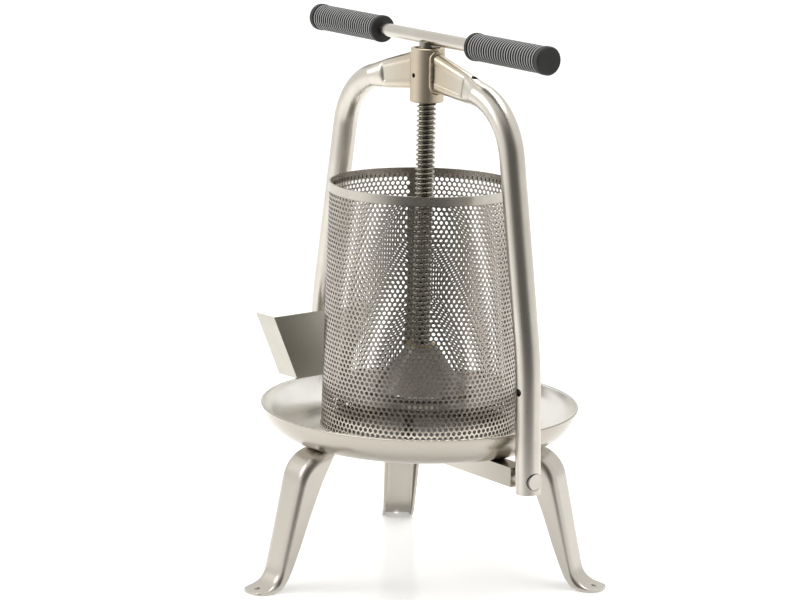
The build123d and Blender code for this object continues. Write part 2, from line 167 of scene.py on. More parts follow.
def steel(name, look):
    material, board = newMaterial(name)
    place = board.add("ShaderNodeTexCoord", None, None, "Object")
    grainAt, (x, y, z), away = grainVector(board, look, place)
    grain = board.noise(grainAt, 1.0, detail=3.0, rough=0.6)
    cloud = board.noise(place, look["cloudScale"], detail=4.0, rough=0.6)
    speck = board.noise(place, look["speckScale"])
    shade = rgba(look["shade"])
    tone = board.blend(board.between(cloud, *look["cloudEdge"]), rgba(look["tone"]), shade)
    tone = board.blend(board.between(grain, *look["streakEdge"]) * look["streak"], tone, shade)
    if "grease" in look:  # the thread's valleys hold old grease
        depth = 1 - board.between(away, *look["greaseEdge"])
        tone = board.blend(depth * look["greaseShare"], tone, rgba(look["grease"]))
    if "straw" in look:  # straw tint where the tube was welded
        near = 1 - board.between(away, *look["strawEdge"])
        high = board.between(z, *look["strawHeight"])
        tone = board.blend(near * high * (cloud * 0.5 + 0.5), tone, rgba(look["straw"]))
    if "neck" in look:  # the plain neck under the bar is painted darker: painted shade from the bar above it
        tone = board.blend(board.between(z, *look["neckShadeEdge"]), tone, rgba(look["neck"]))
    if "outside" in look:  # painted light and shade: faces of the sheet that point inward keep a lit tone, faces that point outward get a darker, shaded tone
        facing = board.add("ShaderNodeTexCoord", None, None, "Normal")
        outward = board.dot(facing, board.vector(x / away, y / away, 0.0))
        tone = board.blend(board.between(outward, *look["outsideEdge"]), tone, rgba(look["outside"]))
    if "basketShadow" in look:  # painted shadow: the pan's floor is painted dark under the basket
        inside = 1 - board.between(away, *look["basketShadowEdge"])
        onFloor = board.between(z, *look["basketShadowFloor"])
        tone = board.blend(inside * onFloor, tone, rgba(look["basketShadow"]))
    rough = look["rough"] + (grain - 0.5) * look["roughGrain"] + (cloud - 0.5) * look["roughCloud"]
    height = grain * (1 - look["speckShare"]) + speck * look["speckShare"]
    sockets = {"Strength": look["bump"], "Distance": look["depth"], "Height": height}
    bump = board.add("ShaderNodeBump", None, sockets)
    board.coat({"Base Color": tone, "Metallic": 1.0, "Roughness": rough, "Normal": bump})
    return material


steelBase = {
    "tone": (0.63, 0.60, 0.55),
    "shade": (0.52, 0.49, 0.44),
    "rough": 0.27,
    "roughGrain": 0.22,
    "roughCloud": 0.16,
    "streak": 0.25,
    "streakEdge": (0.35, 0.75),
    "cloudScale": 16.0,
    "cloudEdge": (0.3, 0.7),
    "speckScale": 900.0,
    "speckShare": 0.2,
    "grain": "round",
    "fine": 1500.0,
    "long": 7.0,
    "bump": 0.35,
    "depth": 0.00012,
}

finishes = {
    "panSteel": {
        "tone": (0.90, 0.885, 0.85),
        "shade": (0.84, 0.825, 0.785),
        "rough": 0.24,
        "roughGrain": 0.05,
        "streak": 0.08,
        "depth": 0.00002,
        # the darker tone of the outward faces is painted shade
        "outside": (0.43, 0.398, 0.348),
        "outsideEdge": (-0.05, 0.25),
        # painted shadow on the pan's floor under the basket
        "basketShadow": (0.10, 0.093, 0.08),
        "basketShadowEdge": (0.098, 0.104),
        "basketShadowFloor": (0.1424, 0.143),
    },
    "guardSteel": {
        "tone": (0.51, 0.492, 0.437),
        "shade": (0.475, 0.456, 0.406),
        "rough": 0.38,
        "roughGrain": 0.04,
        "streak": 0.05,
        "depth": 0.00001,
    },
    "legSteel": {
        "grain": "along",
        "fine": 700.0,
        "long": 20.0,
        "tone": (0.52, 0.49, 0.438),
        "rough": 0.3,
        "roughGrain": 0.03,
        "streak": 0.1,
        "depth": 0.00001,
    },
    "tubeSteel": {
        "grain": "along",
        "fine": 700.0,
        "long": 18.0,
        "tone": (0.62, 0.59, 0.53),
        "shade": (0.54, 0.51, 0.455),
        "rough": 0.3,
        "roughGrain": 0.08,
        "streak": 0.3,
        "depth": 0.00003,
        "straw": (0.50, 0.43, 0.32),
        "strawEdge": (0.03, 0.085),
        "strawHeight": (0.47, 0.5),
    },
    "bossSteel": {"tone": (0.58, 0.51, 0.40), "shade": (0.50, 0.43, 0.33), "rough": 0.42, "fine": 2600.0},
    "weldSteel": {
        "tone": (0.50, 0.435, 0.335),
        "shade": (0.39, 0.33, 0.25),
        "rough": 0.36,
        "cloudScale": 90.0,
    },
    "threadSteel": {
        "tone": (0.41, 0.395, 0.33),
        "shade": (0.33, 0.315, 0.26),
        "rough": 0.25,
        "fine": 3000.0,
        # the neck's darker tone is painted shade under the handle bar
        "neck": (0.30, 0.28, 0.235),
        "neckShadeEdge": (0.5465, 0.5475),
        "grease": (0.075, 0.062, 0.045),
        "greaseEdge": (0.0082, 0.0098),
        "greaseShare": 0.75,
    },
    # the press plate's dark tone is painted shade, as the plate sits shaded inside the basket
    "shadedPlateSteel": {"tone": (0.25, 0.235, 0.21), "shade": (0.19, 0.18, 0.16), "fine": 2600.0, "rough": 0.3},
    "basketSteel": {
        "fine": 1100.0,
        "tone": (0.43, 0.404, 0.36),
        "shade": (0.35, 0.32, 0.286),
        "rough": 0.26,
        "roughGrain": 0.08,
        "depth": 0.00003,
    },
    "bandSteel": {
        "tone": (0.58, 0.55, 0.494),
        "shade": (0.49, 0.465, 0.412),
        "rough": 0.28,
        "roughGrain": 0.1,
        "depth": 0.00004,
    },
    "rivetSteel": {"tone": (0.60, 0.58, 0.54), "rough": 0.24, "fine": 4000.0},
    "pinSteel": {"tone": (0.56, 0.53, 0.48), "rough": 0.34, "fine": 2000.0},
    "barSteel": {"grain": "across", "fine": 900.0, "long": 14.0, "tone": (0.58, 0.555, 0.50), "rough": 0.2},
    "darkSteel": {"tone": (0.07, 0.07, 0.075), "shade": (0.04, 0.04, 0.04), "rough": 0.38},
    "nutBrass": {"tone": (0.60, 0.43, 0.17), "shade": (0.45, 0.31, 0.12), "rough": 0.30, "fine": 3000.0},
}
materials = {name: steel(name, {**steelBase, **look}) for name, look in finishes.items()}

gripLook = {
    # the crest tone is a painted highlight on the ribs; worn is lighter patches on that highlight, as on
    # worn rubber; valley is painted shade in the grooves, darker than the plain caps
    "tone": (0.34, 0.34, 0.34),
    "worn": (0.48, 0.48, 0.48),
    "valley": (0.010, 0.010, 0.010),
    "cap": (0.022, 0.022, 0.022),
    "barHeight": 0.5565,
    "barTurn": -4.0,
    "low": 0.0128,
    "high": 0.0137,
    "ribStart": 0.093,
    "ribPitch": 0.0043,
    "ribCount": 27,
    "crestAt": 0.395,
    "crestHalf": (0.10, 0.24),
    "grimeScale": 60.0,
    "grimeEdge": (0.5, 0.8),
    "grimeShare": 0.6,
    "poreScale": 2600.0,
    "poreBump": 0.4,
    "poreDepth": 0.00015,
    "rough": 0.52,
    "roughGrime": 0.3,
    "roughValley": 0.12,
}


def gripRubber(look):
    material, board = newMaterial("gripRubber")
    place = board.add("ShaderNodeTexCoord", None, None, "Object")
    turn = math.radians(look["barTurn"])
    across = board.dot(place, (-math.sin(turn), math.cos(turn), 0))
    rise = board.dot(place, (0, 0, 1)) - look["barHeight"]
    away = (across * across + rise * rise) ** 0.5
    along = board.dot(place, (math.cos(turn), math.sin(turn), 0)).step("ABSOLUTE") - look["ribStart"]
    ribs = along / look["ribPitch"]
    offCrest = (ribs % 1.0 - look["crestAt"]).step("ABSOLUTE")
    # light marks the rib crests for the painted highlight
    light = 1 - board.between(offCrest, *look["crestHalf"])
    ribbed = ribs.step("GREATER_THAN", 0.0) * ribs.step("LESS_THAN", look["ribCount"])
    crestHighlight = board.between(away, look["low"], look["high"]) * light * ribbed
    grime = board.noise(place, look["grimeScale"], detail=4.0, rough=0.65)
    pores = board.noise(place, look["poreScale"], rough=0.6)
    # the ribbed length is painted darker than the plain ends: painted shade in the grooves
    tone = board.blend(ribbed, rgba(look["cap"]), rgba(look["valley"]))
    # painted highlight on the crests
    tone = board.blend(crestHighlight, tone, rgba(look["tone"]))
    # lighter patches on the painted crest highlight, as on worn rubber
    worn = board.between(grime, *look["grimeEdge"]) * crestHighlight * look["grimeShare"]
    tone = board.blend(worn, tone, rgba(look["worn"]))
    rough = look["rough"] + (grime - 0.5) * look["roughGrime"] + (1 - crestHighlight) * look["roughValley"]
    sockets = {"Strength": look["poreBump"], "Distance": look["poreDepth"], "Height": pores}
    bump = board.add("ShaderNodeBump", None, sockets)
    board.coat({"Base Color": tone, "Roughness": rough, "Normal": bump})
    return material


materials["gripRubber"] = gripRubber(gripLook)

# the nodes that are shown as they come; the others are replaced further on
nodeFinish = {
    "panSteel": ["drip_pan"],
    "guardSteel": ["splash_guard"],
    "legSteel": ["crossbar"],
    "bossSteel": ["yoke_boss"],
    "shadedPlateSteel": ["press_plate", "plate_hub"],
    "bandSteel": ["basket_top_band", "basket_low_band", "basket_seam"],
    "rivetSteel": ["leg_rivets", "crossbar_rivets", "hub_rivets", "keeper_washer"],
    "pinSteel": ["pivot_pin_near", "pivot_pin_far"],
    "barSteel": ["handle_bar"],
    "darkSteel": ["nut_set_screw", "keeper_pin"],
    "nutBrass": ["screw_nut", "thrust_washer"],
    "gripRubber": ["grip_near", "grip_far"],
}
for finish, names in nodeFinish.items():
    for name in names:
        mesh = nodes[name].data
        mesh.materials.clear()
        mesh.materials.append(materials[finish])
print("finishes set:", len(materials))


# Meshes and pieces

def turnsRound(count):
    return [2 * math.pi * k / count for k in range(count)]


# faces between each closed ring of points and the next
def strips(form, rings):
    for a, b in zip(rings, rings[1:]):
        for k in range(len(a)):
            n = (k + 1) % len(a)
            form.faces.new((a[k], a[n], b[n], b[k]))


def meshOf(form, name):
    mesh = bpy.data.meshes.new(name)
    form.to_mesh(mesh)
    form.free()
    return mesh


def linked(name, data):
    thing = bpy.data.objects.new(name, data)
    scene.collection.objects.link(thing)
    return thing


def evaluatedMesh(thing):
    bpy.context.view_layer.update()
    made = thing.evaluated_get(bpy.context.evaluated_depsgraph_get())
    return bpy.data.meshes.new_from_object(made)


def smoothPiece(name, mesh, material, crisp=180.0):
    mesh.materials.clear()
    mesh.materials.append(material)
    mesh.shade_smooth()
    mesh.set_sharp_from_angle(angle=math.radians(crisp))
    print("made", name, len(mesh.polygons), "faces")
    return linked(name, mesh)


# a mesh with round holes cut in it
def drilled(mesh, holes):
    form = bmesh.new()
    for hole in holes:
        turn = Vector(hole["way"]).to_track_quat("Z", "Y").to_matrix().to_4x4()
        sizes = {"radius1": hole["radius"], "radius2": hole["radius"], "depth": hole["depth"]}
        spot = Matrix.Translation(hole["at"]) @ turn
        bmesh.ops.create_cone(form, cap_ends=True, segments=hole["sides"], matrix=spot, **sizes)
    blank = linked("blank", mesh)
    drill = linked("drill", meshOf(form, "drill"))
    cut = blank.modifiers.new("cut", "BOOLEAN")
    cut.operation = "DIFFERENCE"
    cut.solver = "MANIFOLD"
    cut.object = drill
    result = evaluatedMesh(blank)
    for one in (blank, drill):
        bpy.data.objects.remove(one)
    return result


# Geometry Nodes trees

def newTree(name, inputs):
    tree = bpy.data.node_groups.new(name, "GeometryNodeTree")
    board = Board(tree)
    for label, kind in inputs.items():
        tree.interface.new_socket(name=label, in_out="INPUT", socket_type="NodeSocket" + kind)
    tree.interface.new_socket(name="Mesh", in_out="OUTPUT", socket_type="NodeSocketGeometry")
    entry = tree.nodes.new("NodeGroupInput")
    return tree, board, {label: Wire(board, entry.outputs[label]) for label in inputs}


def closeTree(board, shape, material):
    whole = board.add("GeometryNodeRealizeInstances", None, {0: shape})
    coated = board.add("GeometryNodeSetMaterial", None, {"Geometry": whole, "Material": material})
    board.add("NodeGroupOutput", None, {"Mesh": coated})


def bake(name, tree, values):
    holder = linked(name + "Maker", bpy.data.meshes.new(name + "Maker"))
    modifier = holder.modifiers.new("make", "NODES")
    modifier.node_group = tree
    for item in tree.interface.items_tree:
        if item.in_out == "INPUT":
            modifier[item.identifier] = values[item.name]
    mesh = evaluatedMesh(holder)
    mesh.materials.clear()
    mesh.materials.append(values["Material"])
    mesh.polygons.foreach_set("material_index", [0] * len(mesh.polygons))
    bpy.data.objects.remove(holder)
    print("made", name, len(mesh.polygons), "faces")
    return linked(name, mesh)


# Basket: perforated sheet, rolled from a flat pattern

basket = {
    "columns": 110,
    "rows": 56,
    "panels": 5,
    "holeShare": 0.365,
    "sheet": 0.0012,
    "lowRadius": 0.103,
    "topRadius": 0.098,
    "seamAngle": 149.4,
    "seamColumns": 2,
    "joinGap": 0.00001,
}


def sheetTile(name, width, height, sheet, hole, closed=False):
    form = bmesh.new()
    edgeX = [0.5, 0.5, 0.25, 0.0, -0.25, -0.5, -0.5, -0.5, -0.25, 0.0, 0.25, 0.5]
    edgeY = [0.0, 0.5, 0.5, 0.5, 0.5, 0.5, 0.0, -0.5, -0.5, -0.5, -0.5, -0.5]
    turns = turnsRound(len(edgeX))
    rims = []
    rings = []
    for z in (0.0, -sheet):
        rims.append([form.verts.new((x * width, y * height, z)) for x, y in zip(edgeX, edgeY)])
        if hole:
            rings.append([form.verts.new((hole * math.cos(t), hole * math.sin(t), z)) for t in turns])
    rim, backRim = rims
    if hole:
        ring, backRing = rings
        strips(form, [rim, ring, backRing, backRim])
    else:
        form.faces.new(rim)
        form.faces.new(backRim[::-1])
    if closed:  # the sheet's cut edge, along the tile's upper side
        for k in range(1, 5):
            form.faces.new((rim[k + 1], rim[k], backRim[k], backRim[k + 1]))
    for face in form.faces:
        face.smooth = True
    form.normal_update()
    for edge in form.edges:  # crisp where the sheet's face meets a cut
        flat = [abs(face.normal.z) for face in edge.link_faces]
        edge.smooth = not (len(flat) == 2 and abs(flat[0] - flat[1]) > 0.5)
    return linked(name, meshOf(form, name))


def perforatedTree():
    inputs = {
        "Hole Tile": "Object",
        "Plain Tile": "Object",
        "Edge Tile": "Object",
        "First Column": "Int",
        "Columns": "Int",
        "Rows": "Int",
        "Pitch": "Float",
        "Row Step": "Float",
        "Low Radius": "Float",
        "Top Radius": "Float",
        "Low Z": "Float",
        "Turn": "Float",
        "Seam Column": "Int",
        "Seam Width": "Int",
        "Join Gap": "Float",
        "Material": "Material",
    }
    tree, board, given = newTree("perforatedSheet", inputs)
    index = board.add("GeometryNodeInputIndex")
    row = index % given["Rows"]
    column = (index / given["Rows"]).step("FLOOR")
    wholeColumn = column + given["First Column"]
    x = (wholeColumn + (row % 2.0) * 0.5) * given["Pitch"]
    y = (row + 0.5) * given["Row Step"]
    sockets = {"Count": given["Columns"] * given["Rows"], "Position": board.vector(x, y, 0.0)}
    spots = board.add("GeometryNodePoints", None, sockets)
    atEdge = row.step("LESS_THAN", 0.5) + row.step("GREATER_THAN", given["Rows"] - 1.5)
    past = wholeColumn.step("GREATER_THAN", given["Seam Column"] - 0.5)
    before = wholeColumn.step("LESS_THAN", given["Seam Column"] + given["Seam Width"] - 0.5)
    kind = (atEdge * 2.0).step("MAXIMUM", past * before)
    halfTurn = board.vector(0.0, 0.0, row.step("LESS_THAN", 0.5) * math.pi)
    labels = ("Edge Tile", "Plain Tile", "Hole Tile")  # the last one in is number 0
    choice = {"Geometry": [board.shapeOf(given[label]) for label in labels]}
    tiles = board.add("GeometryNodeGeometryToInstance", None, choice)
    sockets = {"Points": spots, "Instance": tiles, "Pick Instance": True, "Instance Index": kind}
    sockets["Rotation"] = halfTurn
    laid = board.add("GeometryNodeInstanceOnPoints", None, sockets)
    flat = board.add("GeometryNodeRealizeInstances", None, {0: laid})
    sockets = {"Geometry": flat, "Distance": given["Join Gap"]}
    joined = board.add("GeometryNodeMergeByDistance", None, sockets)
    px, py, pz = board.split(board.add("GeometryNodeInputPosition"))
    angle = px * given["Turn"]
    share = py / (given["Rows"] * given["Row Step"])
    radius = given["Low Radius"] + (given["Top Radius"] - given["Low Radius"]) * share + pz
    rolledTo = board.vector(radius * angle.step("COSINE"), radius * angle.step("SINE"), given["Low Z"] + py)
    rolled = board.add("GeometryNodeSetPosition", None, {"Geometry": joined, "Position": rolledTo})
    closeTree(board, rolled, given["Material"])
    return tree


def makeBasket(look):
    low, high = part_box("basket_wall")
    rowStep = (high.z - low.z) / look["rows"]
    midRadius = (look["lowRadius"] + look["topRadius"]) / 2
    pitch = 2 * math.pi * midRadius / look["columns"]
    holeTile = sheetTile("holeTile", pitch, rowStep, look["sheet"], pitch * look["holeShare"])
    plainTile = sheetTile("plainTile", pitch, rowStep, look["sheet"], 0.0)
    edgeTile = sheetTile("edgeTile", pitch, rowStep, look["sheet"], 0.0, True)
    tree = perforatedTree()
    perPanel = look["columns"] // look["panels"]
    seam = round(look["seamAngle"] / 360 * look["columns"] - look["seamColumns"] / 2)
    for k in range(look["panels"]):
        values = {
            "Hole Tile": holeTile,
            "Plain Tile": plainTile,
            "Edge Tile": edgeTile,
            "First Column": k * perPanel,
            "Columns": perPanel,
            "Rows": look["rows"],
            "Pitch": pitch,
            "Row Step": rowStep,
            "Low Radius": look["lowRadius"],
            "Top Radius": look["topRadius"],
            "Low Z": low.z,
            "Turn": 1 / midRadius,
            "Seam Column": seam,
            "Seam Width": look["seamColumns"],
            "Join Gap": look["joinGap"],
            "Material": materials["basketSteel"],
        }
        panel = bake("basketPanel" + str(k + 1), tree, values)
        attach(panel, "basket")
        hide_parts("basket_wall")
    for tile in (holeTile, plainTile, edgeTile):
        bpy.data.objects.remove(tile)


# Screw: one long helical strip, with the plain neck and foot set on it

screw = {
    "pitch": 0.005,
    "crestRadius": 0.01,
    "rootRadius": 0.0077,
    "crestShare": 0.2,
    "rootShare": 0.24,
    "lowZ": 0.2375,
    "neckZ": 0.5475,
    "neckRadius": 0.009,
    "neckBevel": 0.0005,
    "footRadius": 0.00795,
    "footBevel": 0.001,
    "endSides": 48,
    "sides": 32,
    "profileSteps": 14,
    "joinGap": 0.000002,
}


def threadTree():
    inputs = {
        "Turns": "Int",
        "Sides": "Int",
        "Profile Steps": "Int",
        "Pitch": "Float",
        "Crest Radius": "Float",
        "Root Radius": "Float",
        "Crest Share": "Float",
        "Root Share": "Float",
        "Low Z": "Float",
        "Top Z": "Float",
        "Join Gap": "Float",
        "Material": "Material",
    }
    tree, board, given = newTree("threadStrip", inputs)
    steps = given["Turns"] * given["Sides"]
    sockets = {"Size X": given["Turns"], "Size Y": 1.0}
    sockets.update({"Vertices X": steps + 1.0, "Vertices Y": given["Profile Steps"] + 1.0})
    strip = board.add("GeometryNodeMeshGrid", None, sockets)
    turn, across = board.split(board.add("GeometryNodeInputPosition"))[:2]
    turn = turn + given["Turns"] * 0.5
    reach = 0.5 - given["Root Share"] * 0.5 - across.step("ABSOLUTE")
    rise = board.between(reach / (0.5 - given["Root Share"] * 0.5 - given["Crest Share"] * 0.5), 0.0, 1.0)
    radius = given["Root Radius"] + (given["Crest Radius"] - given["Root Radius"]) * rise
    z = given["Low Z"] + (turn + across - 1.0) * given["Pitch"]
    z = z.step("MAXIMUM", given["Low Z"]).step("MINIMUM", given["Top Z"])
    angle = turn * (2 * math.pi)
    wound = board.vector(radius * angle.step("COSINE"), radius * angle.step("SINE"), z)
    coil = board.add("GeometryNodeSetPosition", None, {"Geometry": strip, "Position": wound})
    sockets = {"Geometry": coil, "Distance": given["Join Gap"]}
    joined = board.add("GeometryNodeMergeByDistance", None, sockets)
    smooth = board.add("GeometryNodeSetShadeSmooth", None, {0: joined})
    closeTree(board, smooth, given["Material"])
    return tree


def lathe(mesh, points, sides):
    form = bmesh.new()
    form.from_mesh(mesh)
    rings = []
    for radius, z in points:
        places = [(radius * math.cos(t), radius * math.sin(t), z) for t in turnsRound(sides)]
        rings.append([form.verts.new(place) for place in places])
    strips(form, rings)
    form.faces.new(rings[0][::-1])
    form.faces.new(rings[-1])
    form.to_mesh(mesh)
    form.free()


def makeScrew(look):
    low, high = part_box("press_screw")
    values = {
        "Turns": round((look["neckZ"] - look["lowZ"]) / look["pitch"]) + 2,
        "Sides": look["sides"],
        "Profile Steps": look["profileSteps"],
        "Pitch": look["pitch"],
        "Crest Radius": look["crestRadius"],
        "Root Radius": look["rootRadius"],
        "Crest Share": look["crestShare"],
        "Root Share": look["rootShare"],
        "Low Z": look["lowZ"],
        "Top Z": look["neckZ"],
        "Join Gap": look["joinGap"],
        "Material": materials["threadSteel"],
    }
    rod = bake("screwRod", threadTree(), values)
    foot, bevel = look["footRadius"], look["footBevel"]
    footLine = [(foot - bevel, low.z), (foot, low.z + bevel), (foot, look["lowZ"])]
    neck, bevel = look["neckRadius"], look["neckBevel"]
    neckLine = [(neck, look["neckZ"]), (neck, high.z - bevel), (neck - bevel, high.z)]
    for line in (footLine, neckLine):
        lathe(rod.data, line, look["endSides"])
    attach(rod, "screw")
    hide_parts("press_screw")


# Legs: pressed channels, the web outside and rounded into the side flanges

leg = {
    "turns": {"leg_left": 270.0, "leg_right": 30.0, "leg_back": 150.0},
    "sheet": 0.0025,
    "corner": 0.009,
    "cornerSteps": 8,
    "topHeight": 0.142,
    "topWidth": 0.042,
    "footWidth": 0.034,
    "innerEnd": 0.098,
    "toeEnd": 0.211,
    "toeRound": 0.013,
    "toeSteps": 8,
    "webTop": 0.1545,
    "webSlope": 0.227,
    "topBend": 0.036,
    "footBend": 0.026,
    "bendSteps": 12,
    "stationStep": 0.004,
    "stationGap": 0.0005,
    "holeRadius": 0.00275,
    "holeAt": 0.2005,
    "holeSides": 24,
    "drillLength": 0.02,
    "lipInward": [0.013, 0.02, 0.03, 0.0365, 0.042, 0.051, 0.062, 0.075, 0.09],
    "lipRise": [0.0, 0.0, 0.029, 0.086, 0.168, 0.33, 0.552, 0.788, 1.0],
    "joinGap": 0.000001,
}


def onLine(line, x):
    for a, b in zip(line, line[1:]):
        if a.x <= x <= b.x:
            return a.lerp(b, (x - a.x) / (b.x - a.x))
    return line[-1]


# the web's outer line in the leg's own plane
def webStations(look):
    top, foot = look["topHeight"], look["sheet"]
    footX = look["webTop"] + look["webSlope"] * (top - foot)
    corners = [(look["innerEnd"], top), (look["webTop"], top), (footX, foot), (look["toeEnd"], foot)]
    corners = [Vector(c) for c in corners]
    line = [corners[0]]
    steps = look["bendSteps"]
    for corner, after, bend in zip(corners[1:3], corners[2:], (look["topBend"], look["footBend"])):
        back = (line[-1] - corner).normalized()
        on = (after - corner).normalized()
        half = back.angle(on) / 2
        centre = corner + (back + on).normalized() * (bend / math.sin(half))
        first = corner + back * (bend / math.tan(half)) - centre
        sweep = first.angle_signed(corner + on * (bend / math.tan(half)) - centre)
        line += [centre + Matrix.Rotation(-sweep * k / steps, 2) @ first for k in range(steps + 1)]
    line.append(corners[3])
    stations = []
    for start, end in zip(line, line[1:]):
        pieces = max(1, round((end - start).length / look["stationStep"]))
        stations += [start.lerp(end, k / pieces) for k in range(pieces)]
    toeStart = look["toeEnd"] - look["toeRound"]
    stations = [spot for spot in stations if spot.x < toeStart - look["stationGap"]]
    for k in range(look["toeSteps"] + 1):
        turn = math.pi / 2 * k / look["toeSteps"]
        stations.append(onLine(line, toeStart + look["toeRound"] * math.sin(turn)))
    return stations


def alongLine(line, share):
    lengths = [(b - a).length for a, b in zip(line, line[1:])]
    left = share * sum(lengths)
    for a, b, length in zip(line, line[1:], lengths):
        if left <= length:
            return a.lerp(b, left / length)
        left -= length
    return line[-1]


# each station's point on the sheet's free edge, straight below it where there is no flange
def flangeEdge(look, stations):
    under = look["topHeight"] - look["sheet"]
    steps = zip(look["lipInward"], look["lipRise"])
    lip = [Vector((look["toeEnd"] - inward, rise * under)) for inward, rise in steps]
    first, last = lip[-1].x, lip[0].x
    reach = [0.0]
    for a, b in zip(stations, stations[1:]):
        inside = first < b.x < last
        reach.append(reach[-1] + ((b - a).length if inside else 0.0))
    points = []
    for spot, gone in zip(stations, reach):
        if spot.x <= first:
            points.append(Vector((spot.x, under)))
        elif spot.x >= last:
            points.append(Vector((spot.x, 0.0)))
        else:
            points.append(alongLine(lip, 1 - gone / reach[-1]))
    return points


# the sheet across the leg: places from side to side as (share of the half width, inset, depth)
def legSection(look, depth, inset):
    bend = max(min(look["corner"], depth - look["sheet"]), 0.0)
    small = max(bend - inset, 0.0)
    places = [(1.0, inset, depth), (1.0, inset, (inset + small + depth) / 2)]
    for k in range(look["cornerSteps"] + 1):
        t = math.pi / 2 * k / look["cornerSteps"]
        places.append((1.0, inset + small * (1 - math.cos(t)), inset + small * (1 - math.sin(t))))
    places.append((0.5, 0.0, inset))
    return places + [(0.0, 0.0, inset)] + [(-share, -side, d) for share, side, d in reversed(places)]


def halfWidth(look, x, z):
    half = look["footWidth"] / 2 + (look["topWidth"] - look["footWidth"]) / 2 * z / look["topHeight"]
    past = x - look["toeEnd"] + look["toeRound"]
    if past > 0:
        half += math.sqrt(max(look["toeRound"] ** 2 - past**2, 0)) - look["toeRound"]
    return half


def legMesh(look):
    stations = webStations(look)
    edge = flangeEdge(look, stations)
    form = bmesh.new()
    skins = []
    for inset in (0.0, look["sheet"]):
        rows = []
        for spot, end in zip(stations, edge):
            depth = (end - spot).length
            row = []
            for share, side, d in legSection(look, depth, inset):
                place = spot.lerp(end, d / depth)
                y = share * halfWidth(look, place.x, place.y) - side
                row.append(form.verts.new((place.x, y, place.y)))
            rows.append(row)
        skins.append(rows)
    outer, inner = skins
    for rows, flip in ((outer, False), (inner, True)):
        for a, b in zip(rows, rows[1:]):
            for k in range(len(a) - 1):
                corners = (a[k], a[k + 1], b[k + 1], b[k])
                form.faces.new(corners[::-1] if flip else corners)
    for k in range(len(outer) - 1):
        form.faces.new((outer[k][0], outer[k + 1][0], inner[k + 1][0], inner[k][0]))
        form.faces.new((outer[k + 1][-1], outer[k][-1], inner[k][-1], inner[k + 1][-1]))
    for k in range(len(outer[0]) - 1):
        form.faces.new((outer[0][k + 1], outer[0][k], inner[0][k], inner[0][k + 1]))
        form.faces.new((outer[-1][k], outer[-1][k + 1], inner[-1][k + 1], inner[-1][k]))
    bmesh.ops.remove_doubles(form, verts=form.verts, dist=look["joinGap"])
    bmesh.ops.recalc_face_normals(form, faces=form.faces)
    return meshOf(form, "legSheet")


def makeLegs(look):
    hole = {
        "at": (look["holeAt"], 0, 0),
        "way": (0, 0, 1),
        "radius": look["holeRadius"],
        "depth": look["drillLength"],
        "sides": look["holeSides"],
    }
    sheet = drilled(legMesh(look), [hole])
    for name, turn in look["turns"].items():
        mesh = sheet.copy()
        mesh.transform(Matrix.Rotation(math.radians(turn), 4, "Z"))
        piece = smoothPiece(name.replace("leg_", "pressedLeg"), mesh, materials["legSteel"], crispAngle)
        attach(piece, "base")
        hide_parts(name)


# Yoke tubes: round up to the shoulder, then squeezed flat and flared to the boss

tube = {
    "radius": 0.0127,
    "wall": 0.0018,
    "pivotX": 0.1845,
    "pivotZ": 0.132,
    "footZ": 0.118,
    "lowLean": 2.5,
    "kneeZ": 0.225,
    "kneeRadius": 0.4,
    "kneeSteps": 8,
    "highLean": 10.0,
    "shoulderZ": 0.452,
    "shoulderRadius": 0.07,
    "shoulderSteps": 40,
    "armLean": 79.0,
    "squeeze": 0.022,
    "squeezeSteps": 24,
    "stepStart": 0.74,
    "stepShare": 0.25,
    "armHeight": 0.031,
    "rootHeight": 0.042,
    "armWidth": 0.0135,
    "armSteps": 12,
    "bossRadius": 0.0175,
    "dentDepth": 0.0006,
    "dentStart": 0.8,
    "dentShare": 0.55,
    "dentEdge": 0.0016,
    "sides": 96,
    "pinHole": 0.00805,
    "pinSides": 48,
    "crossHole": 0.004,
    "crossZ": 0.222,
    "vent": 0.0036,
    "ventAt": 0.011,
    "holeSides": 32,
}


def smoothStep(value, low, high):
    t = min(max((value - low) / (high - low), 0.0), 1.0)
    return t * t * (3 - 2 * t)


# the middle line of the round part, as (x, z, lean), ending where the arm starts
def roundStations(look):
    low, high, arm = (math.radians(look[k]) for k in ("lowLean", "highLean", "armLean"))
    x = look["pivotX"] + (look["pivotZ"] - look["footZ"]) * math.tan(low)
    z = look["footZ"]
    stations = []
    knee = (low, high, look["kneeZ"], look["kneeRadius"], look["kneeSteps"])
    shoulder = (high, arm, look["shoulderZ"], look["shoulderRadius"], look["shoulderSteps"])
    for lean, nextLean, bendZ, radius, steps in (knee, shoulder):
        rise = bendZ - z
        pieces = round(rise / look["radius"])
        for k in range(pieces):
            up = rise * k / pieces
            stations.append((x - up * math.tan(lean), z + up, lean))
        x, z = x - rise * math.tan(lean), bendZ
        for k in range(steps):
            t = lean + (nextLean - lean) * k / steps
            bentX = x - radius * (math.cos(lean) - math.cos(t))
            stations.append((bentX, z + radius * (math.sin(t) - math.sin(lean)), t))
        x -= radius * (math.cos(lean) - math.cos(nextLean))
        z += radius * (math.sin(nextLean) - math.sin(lean))
    stations.append((x, z, arm))
    return stations


# the flat arm's height at a distance along it; it would be the root's at the screw's axis
def armTall(look, gone, axisAt):
    flare = max(gone - look["squeeze"], 0.0) / (axisAt - look["squeeze"])
    return look["armHeight"] + (look["rootHeight"] - look["armHeight"]) * flare


